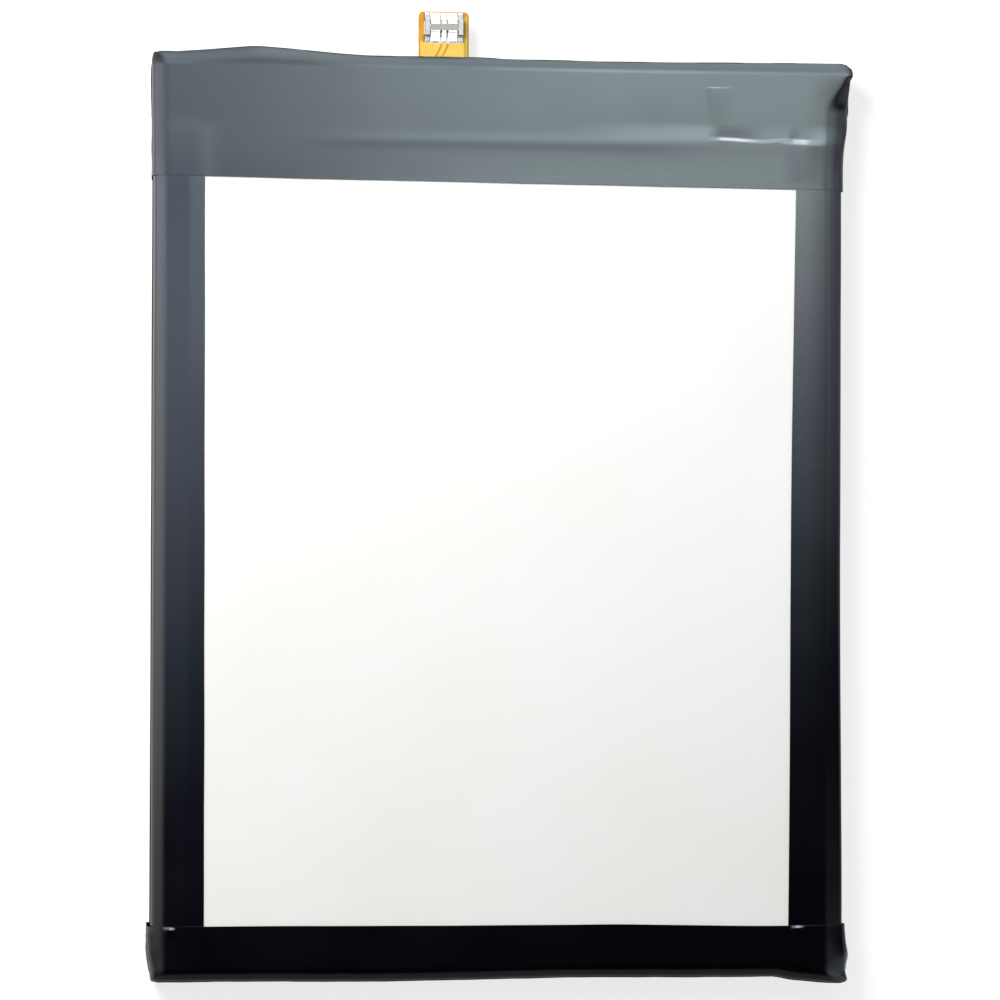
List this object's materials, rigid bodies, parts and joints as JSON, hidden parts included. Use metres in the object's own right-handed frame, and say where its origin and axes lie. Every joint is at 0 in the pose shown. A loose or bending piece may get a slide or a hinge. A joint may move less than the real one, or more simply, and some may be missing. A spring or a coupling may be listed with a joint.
{
  "type": "pouch battery cell",
  "caption": "Flat rectangular lithium pouch cell framed in black film tape around a blank white label, with a protection board in its head and a short flex tail with a board connector",
  "frame": {"origin": "centre of the taped pack's outline, on the outer face of the mounting tape on its back", "axes": "+X to the right seen from the label side, +Y along the pack towards the head and its flex tail, +Z out of the label face"},
  "size_m": [0.063, 0.088, 0.005],
  "materials": {
    "label": "satin",
    "black_film": "semi-gloss",
    "mounting_tape": "matte release paper",
    "laminate": "satin nylon-coated foil",
    "cathode_coat": "matte coated foil",
    "anode_coat": "matte coated foil",
    "separator": "matte film",
    "end_tape": "gloss film",
    "aluminium_tab": "rolled",
    "nickel": "rolled",
    "seal_film": "translucent film",
    "polyimide": "amber film",
    "board": "solder mask",
    "chip": "moulded epoxy",
    "resistor": "glazed chip",
    "capacitor": "fired chip",
    "thermistor": "fired chip",
    "foam": "closed-cell foam",
    "flex": "amber polyimide",
    "stiffener": "glass-epoxy sheet",
    "solder": "reflowed tin",
    "housing": "moulded",
    "contact": "tinned",
    "end_cap": "stamped"
  },
  "bodies": {
    "pack": {"label": "label", "head_tape": "black_film", "foot_tape": "black_film", "left_tape": "black_film", "right_tape": "black_film", "mounting_tape": "mounting_tape", "pouch_cup": "laminate", "pouch_cover": "laminate", "cathode_foil": "cathode_coat", "anode_foil": "anode_coat", "inner_separator": "separator", "outer_separator": "separator", "winding_end_tape": "end_tape", "cathode_tab": "aluminium_tab", "anode_tab": "nickel", "cathode_seal_film": "seal_film", "anode_seal_film": "seal_film", "terrace_tape": "polyimide", "circuit_board": "board", "cathode_weld_plate": "nickel", "anode_weld_plate": "nickel", "power_switches": "chip", "protection_chips": "chip", "sense_resistor": "resistor", "chip_resistors": "resistor", "chip_capacitors": "capacitor", "thermistor": "thermistor", "board_wrap": "polyimide", "head_foam": "foam", "flex_root": "flex", "flex_solder": "solder"},
    "connector_tail": {"flex_tail": "flex", "tail_stiffener": "stiffener", "solder_pads": "solder", "connector_housing": "housing", "power_contacts": "contact", "signal_contacts": "contact", "connector_end_caps": "end_cap"}
  },
  "joints": [
    {"name": "flex_bend", "type": "hinge", "parent": "pack", "child": "connector_tail", "pos_m": [-0.005, 0.04225, 0.00237], "axis": [1, 0, 0], "range_deg": [-90, 75]}
  ]
}
